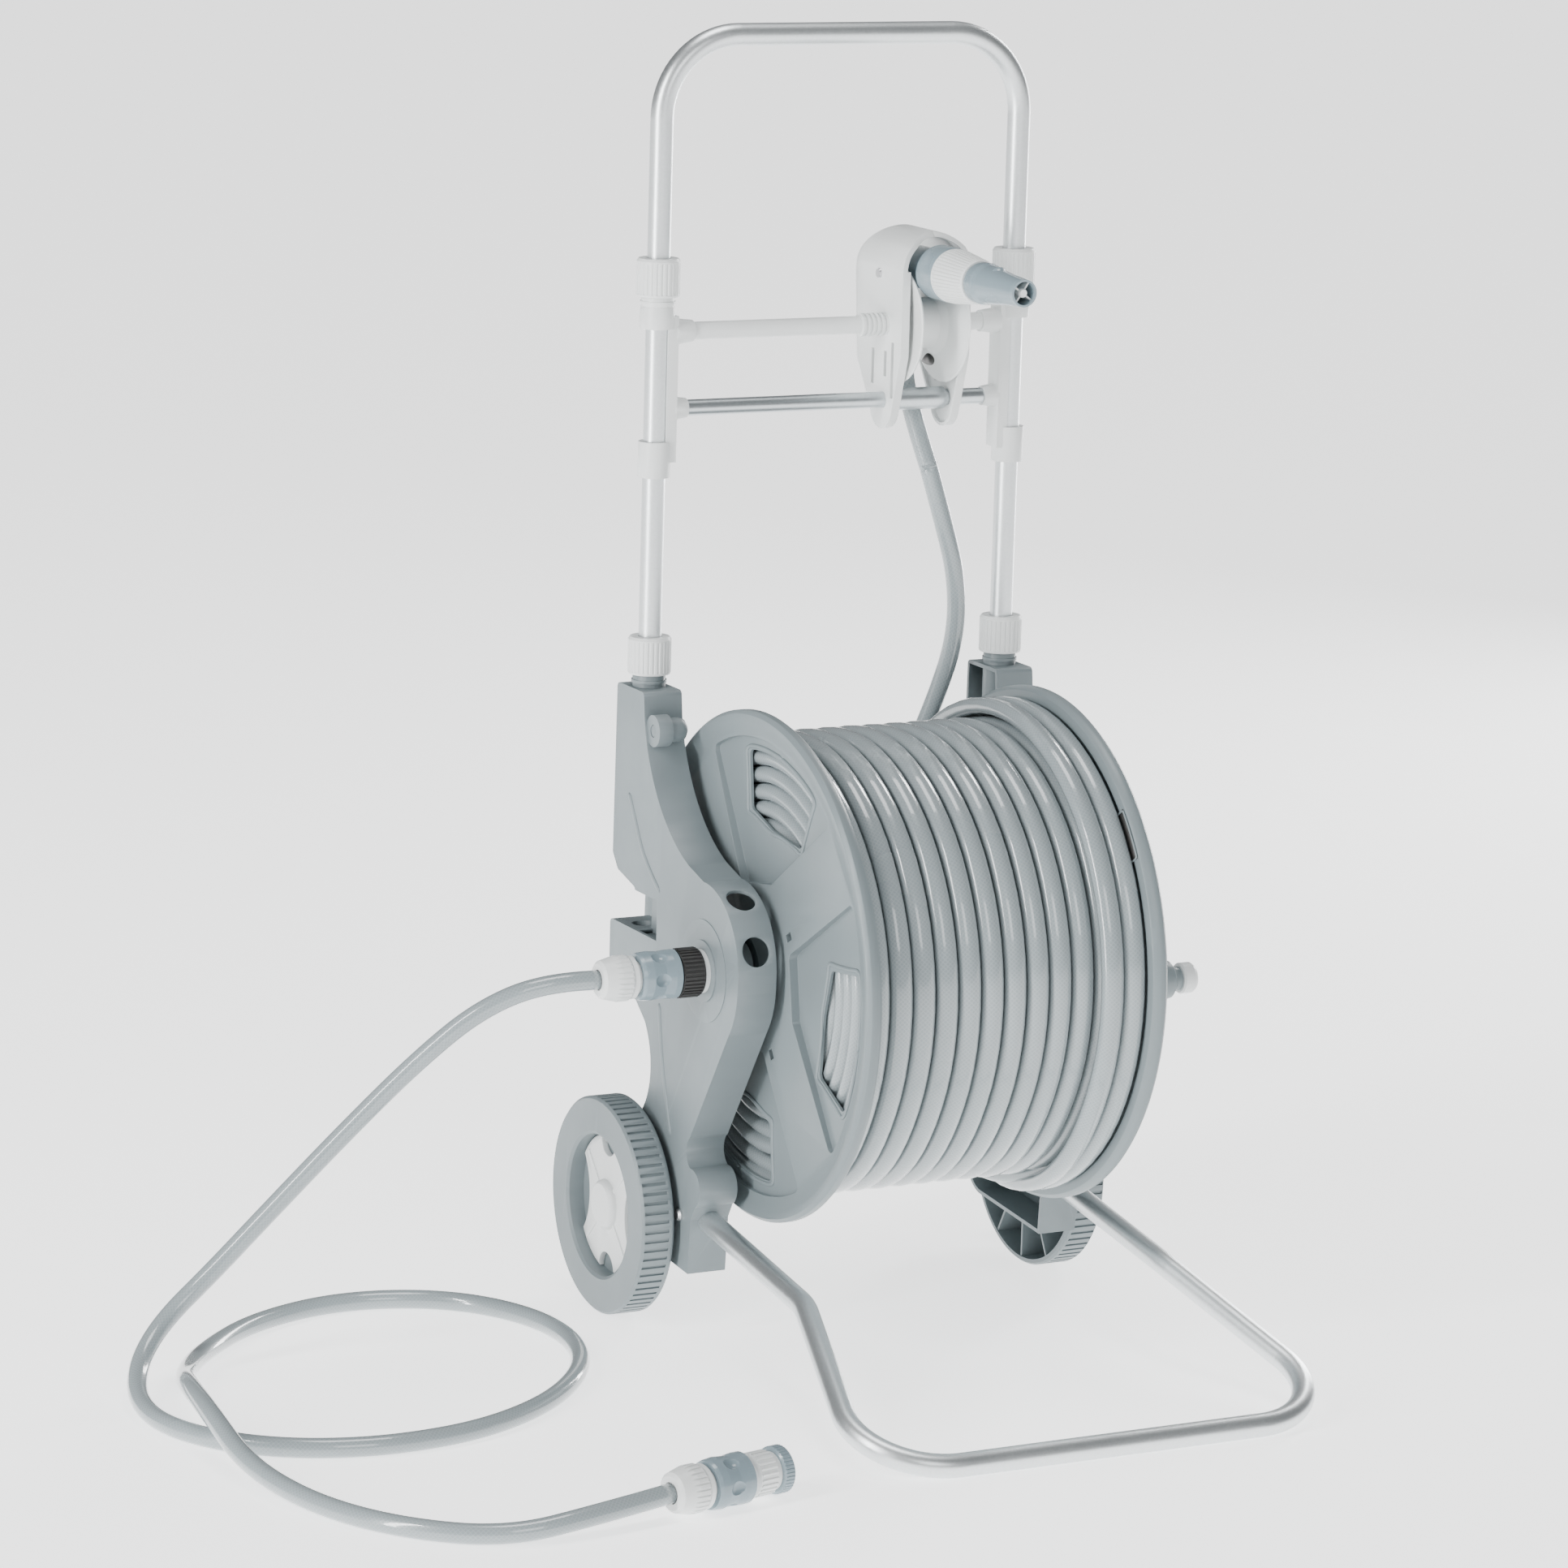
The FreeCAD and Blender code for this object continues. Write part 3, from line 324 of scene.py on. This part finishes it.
# ---- camera, light and floor ----------------------------------------------------------------------------
def camera():
    """The photograph's view: a long lens a little above the cart, turned to its left front."""
    yaw, pitch, roll = (math.radians(angle) for angle in (YAW, PITCH, ROLL))
    back = Vector((math.sin(yaw) * math.cos(pitch), -math.cos(yaw) * math.cos(pitch), math.sin(pitch)))
    right = Vector((math.cos(yaw), math.sin(yaw), 0))
    up = back.cross(right)
    side = math.cos(roll) * right + math.sin(roll) * up
    top = -math.sin(roll) * right + math.cos(roll) * up
    data = bpy.data.cameras.new("camera")
    data.sensor_width = SENSOR
    data.lens = LENS
    data.clip_end = 100
    obj = bpy.data.objects.new("camera", data)
    turned = Matrix((side, top, back)).transposed().to_4x4()
    obj.matrix_world = Matrix.Translation(Vector(VIEW_TARGET) + back * VIEW_DISTANCE) @ turned
    SCENE.collection.objects.link(obj)
    SCENE.camera = obj


def area_light(name, place, aim, size, power):
    data = bpy.data.lights.new(name, "AREA")
    data.shape = "RECTANGLE"
    data.size, data.size_y = size
    data.energy = power
    obj = bpy.data.objects.new(name, data)
    obj.location = place
    obj.rotation_euler = (Vector(aim) - Vector(place)).to_track_quat("-Z", "Y").to_euler()
    SCENE.collection.objects.link(obj)


def studio():
    """Soft surroundings, four panels and the lit floor; places in metres, power in watts."""
    world = bpy.data.worlds.new("studio")
    world.use_nodes = True
    background = world.node_tree.nodes["Background"]
    background.inputs["Color"].default_value = (0.95, 0.98, 1.0, 1)
    background.inputs["Strength"].default_value = 0.22
    SCENE.world = world
    area_light("left_panel", (-3.0, -0.7, 1.3), (0, 0.1, 0.5), (0.3, 3.2), 130)
    area_light("right_panel", (2.6, 1.7, 1.3), (0, 0, 0.5), (0.5, 2.6), 90)
    area_light("front_fill", (-0.6, -4.2, 2.4), (0, 0, 0.4), (1.6, 1.6), 44)
    area_light("overhead", (0, 0.2, 3.4), (0, 0, 0.4), (1.2, 1.2), 40)
    bpy.ops.mesh.primitive_plane_add(size=30)
    floor = bpy.context.object
    floor.name = "floor"
    floor.data.materials.append(light_table())


# ---- mesh helpers ---------------------------------------------------------------------------------------
def new_object(name, mesh, slot):
    obj = bpy.data.objects.new(name, mesh)
    SCENE.collection.objects.link(obj)
    obj.data.materials.append(MATERIALS[slot])
    return obj


def joined(name, meshes, slot, body):
    """One piece out of several meshes, riding on a body."""
    whole = bmesh.new()
    for mesh in meshes:
        whole.from_mesh(mesh)
        bpy.data.meshes.remove(mesh)
    result = bpy.data.meshes.new(name)
    whole.to_mesh(result)
    whole.free()
    result.shade_smooth()
    obj = new_object(name, result, slot)
    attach(obj, body)


def unroll(mesh, rings):
    """UVs of a loft's sides, in metres along its run and round the hose."""
    count = len(rings[0])
    middles = [sum(ring, Vector()) / count for ring in rings]
    run = [0.0]
    for before, after in zip(middles, middles[1:]):
        run.append(run[-1] + (after - before).length)
    around = 2 * math.pi * HOSE_R * MM
    uvs = mesh.uv_layers.new(name="UVMap")
    for face in mesh.polygons[:count * (len(rings) - 1)]:
        i, j = divmod(face.index, count)
        corners = ((run[i], j), (run[i], j + 1), (run[i + 1], j + 1), (run[i + 1], j))
        for loop, (along, step) in zip(face.loop_indices, corners):
            uvs.data[loop].uv = (along, around * step / count)


def lofted(name, rings):
    """Smooth closed skin through rings of points, its faces turned outwards."""
    count = len(rings[0])
    last = (len(rings) - 1) * count
    faces = []
    for start in range(0, last, count):
        for j in range(count):
            k = (j + 1) % count
            faces.append((start + j, start + k, start + count + k, start + count + j))
    faces += [tuple(reversed(range(count))), tuple(range(last, last + count))]
    mesh = bpy.data.meshes.new(name)
    mesh.from_pydata([point for ring in rings for point in ring], [], faces)
    unroll(mesh, rings)
    mesh.shade_smooth()
    skin = bmesh.new()
    skin.from_mesh(mesh)
    bmesh.ops.recalc_face_normals(skin, faces=skin.faces)
    skin.to_mesh(mesh)
    skin.free()
    return mesh


def spline_line(route):
    """Points of the smooth line that has the route's points, in millimetres, as its control points."""
    curve = bpy.data.curves.new("route", "CURVE")
    curve.dimensions = "3D"
    curve.resolution_u = 12
    spline = curve.splines.new("NURBS")
    spline.points.add(len(route) - 1)
    for control, point in zip(spline.points, route):
        control.co = (*at(*point), 1)
    spline.order_u = 3
    spline.use_endpoint_u = True
    obj = bpy.data.objects.new("route", curve)
    mesh = bpy.data.meshes.new_from_object(obj)
    points = [vertex.co.copy() for vertex in mesh.vertices]
    bpy.data.objects.remove(obj)
    bpy.data.curves.remove(curve)
    bpy.data.meshes.remove(mesh)
    return points


def round_tube(name, points, radius):
    """Tube along a line of points, its rings carried along without twist."""
    rings = []
    side = None
    for i, point in enumerate(points):
        ahead = (points[min(i + 1, len(points) - 1)] - points[max(i - 1, 0)]).normalized()
        if side is None:
            side = ahead.orthogonal()
        side = (side - ahead * side.dot(ahead)).normalized()
        up = ahead.cross(side)
        rings.append([point + radius * MM * (math.cos(a) * side + math.sin(a) * up)
                      for a in round_angles(TUBE_SIDES)])
    return lofted(name, rings)


# ---- hoses ----------------------------------------------------------------------------------------------
def free_hose(name, route, node=None, **facts):
    """A hose off the reel; facts is not used."""
    points = spline_line(route)
    obj = new_object(name, round_tube(name, points, HOSE_R), "hose_pvc")
    if node:
        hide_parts(node)
    return obj


def hoses():
    """The lead hose, and the run from the guide to the reel in two lengths with a hidden tail."""
    tap_pieces = [NODES[n] for n in ("tap_connector_nut", "tap_connector_core", "tap_connector_sleeve",
                                     "tap_adapter", "tap_seal", "tap_rim")]
    lead = free_hose("lead_hose_skin", LEAD_ROUTE, "lead_hose", far_end="connector", with_pieces=tap_pieces)
    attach(lead, "root")
    upper = free_hose("drop_hose_upper_skin", DROP_UPPER, "drop_hose_upper", far_end="object", lay="hanging")
    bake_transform(upper)
    lower = free_hose("drop_hose_lower_skin", DROP_LOWER, "drop_hose_lower", far_end="object", lay="hanging")
    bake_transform(lower)
    tail = free_hose("drop_hose_tail", DROP_TAIL, far_end="object", lay="hanging")
    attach(tail, "root")


def eased(value):
    value = min(1.0, max(0.0, value))
    return value * value * (3 - 2 * value)


def winding_seats():
    """Where each turn lies, from the drum outwards: (radius, x)."""
    pitch = (WIND_TO - WIND_FROM) / TURNS
    seats = []
    for layer in range(LAYERS):
        radius = DRUM_R + LAYER_STEP * (layer + 0.5)
        xs = [WIND_FROM + pitch * (i + 0.5) for i in range(TURNS)]
        if layer % 2 == 0:
            xs.reverse()
        seats += [(radius, x) for x in xs]
    return seats + [(LAST_TURN_R, x) for x in LAST_TURN_XS]


def winding():
    """The stored hose: one run of turns, layer on layer, flattened where it is pulled on to the reel."""
    jitter = random.Random(7)
    seats = [(radius + jitter.uniform(-SLACK_R, SLACK_R), x + jitter.uniform(-SLACK_X, SLACK_X))
             for radius, x in winding_seats()]
    section = [(TURN_WIDE * math.cos(a),
                TURN_HIGH * math.copysign(abs(math.sin(a)) ** TURN_FULLNESS, math.sin(a)))
               for a in round_angles(TURN_SIDES)]
    first = math.radians(FIRST_BEARING)
    rings = []
    for turn, (radius, x) in enumerate(seats):
        following = seats[min(turn + 1, len(seats) - 1)]
        for step in range(TURN_STEPS):
            share = step / TURN_STEPS
            move = eased((share - 1 + CROSSING) / CROSSING)
            bearing = first + 2 * math.pi * share
            out = Vector((0, math.cos(bearing), math.sin(bearing)))
            r = radius + move * (following[0] - radius)
            middle = at(x + move * (following[1] - x), 0, REEL_Z) + out * r * MM
            rings.append([middle + Vector((wide * MM, 0, 0)) + out * high * MM for wide, high in section])
    obj = new_object("hose_turns", lofted("hose_turns", rings), "hose_pvc")
    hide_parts("hose_winding")
    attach(obj, "reel")


# ---- moulded details on the CAD parts, and painted shade for a slot and a hole --------------------------
def rib(line, half_wide, high):
    """Low rounded rib along points on one face square to x, thinner at its two ends."""
    rings = []
    for i, point in enumerate(line):
        before, after = line[max(i - 1, 0)], line[min(i + 1, len(line) - 1)]
        across = (after - before).normalized().cross(Vector((1, 0, 0)))
        share = RIB_TIP if i in (0, len(line) - 1) else 1
        rings.append([point + across * half_wide * share * MM * math.cos(a)
                      + Vector((high * share * MM * math.sin(a), 0, 0))
                      for a in round_angles(RIB_SIDES)])
    return lofted("rib", rings)


def frame_ribs():
    """Sweeping ribs on the outer faces of the two side frames."""
    for side, name in ((-1, "left"), (1, "right")):
        meshes = [rib(spline_line([(side * FRAME_OUT, y, z) for y, z in line]), 2.6, 0.9)
                  for line in FRAME_RIBS]
        joined("frame_ribs_" + name, meshes, "frame_grey", "root")


def on_flange(x, radius, degrees):
    """Point on a flange's face; angles count from the top towards the front."""
    swing = math.radians(degrees)
    return (x, -radius * math.sin(swing), REEL_Z + radius * math.cos(swing))


def flange_lips():
    """Rounded lips round the four windows of both flanges."""
    for name, face in SPOKE_FACES.items():
        panel = face - math.copysign(PANEL_SINK, face)
        meshes = []
        for quarter in range(0, 360, 90):
            line = [on_flange(panel, radius, degrees + quarter) for radius, degrees in WINDOW_LIP]
            meshes.append(rib(spline_line(line), 1.7, 1.3))
        joined(name + "_lips", meshes, "reel_grey", "reel")


def rim_slot_painted_shade():
    """Black piece in the inside of the right flange's rim, where the hose's end is led out: painted shade for
    the slot's dark opening, with its lip.
    """
    (start, end), (inner, outer), (near, far) = SLOT_ANGLES, SLOT_RADII, SLOT_XS
    turned = [start + (end - start) * i / SLOT_STEPS for i in range(SLOT_STEPS + 1)]
    corners = ((near, inner), (near, outer), (far, outer), (far, inner))
    rings = [[at(*on_flange(x, radius, degrees)) for x, radius in corners] for degrees in turned]
    # black piece: painted shade where the slot's opening is dark
    joined("rim_slot_painted_shade", [lofted("slot", rings)], "black_plastic", "reel")
    loop = [(inner, degrees) for degrees in turned] + [(outer, degrees) for degrees in reversed(turned)]
    line = spline_line([on_flange(near, radius, degrees) for radius, degrees in loop + loop[:1]])
    joined("rim_slot_lip", [rib(line, 0.8, 0.7)], "reel_grey", "reel")


def pulley_hole_painted_shade():
    """Teardrop opening in the pulley's right disc, drawn as a black inset on its cone: painted shade for the
    dark opening.
    """
    cone_r, cone_x = DISC_FROM
    rings = []
    for depth in TEARDROP_DEPTHS:
        line = []
        for y, z in TEARDROP:
            cone = cone_x + (math.hypot(y, z) - cone_r) * DISC_SLOPE
            line.append((GUIDE_X + cone + depth, LEG_Y + y, PULLEY_Z + z))
        rings.append(spline_line(line)[:-1])
    # black inset: painted shade
    joined("pulley_hole_painted_shade", [lofted("hole", rings)], "black_plastic", "pulley")


def soften(name, width):
    """Rounds a CAD part's edges with modifiers; the part's own mesh stays as imported."""
    obj = NODES[name]
    weld = obj.modifiers.new("weld", "WELD")
    weld.merge_threshold = SAME_POINT * MM
    flat = obj.modifiers.new("flat", "DECIMATE")
    flat.decimate_type = "DISSOLVE"
    flat.angle_limit = math.radians(FLAT_BELOW)
    bevel = obj.modifiers.new("bevel", "BEVEL")
    bevel.width = width * MM
    bevel.segments = 3
    bevel.limit_method = "ANGLE"
    bevel.angle_limit = math.radians(SHARP_ABOVE)
    bevel.harden_normals = True


# ---- the whole scene ------------------------------------------------------------------------------------
camera()
MATERIALS = make_materials()
studio()
dress_cad_nodes()
hoses()
winding()
frame_ribs()
flange_lips()
rim_slot_painted_shade()
pulley_hole_painted_shade()
for part_name, edge in SOFT_EDGES.items():
    soften(part_name, edge)
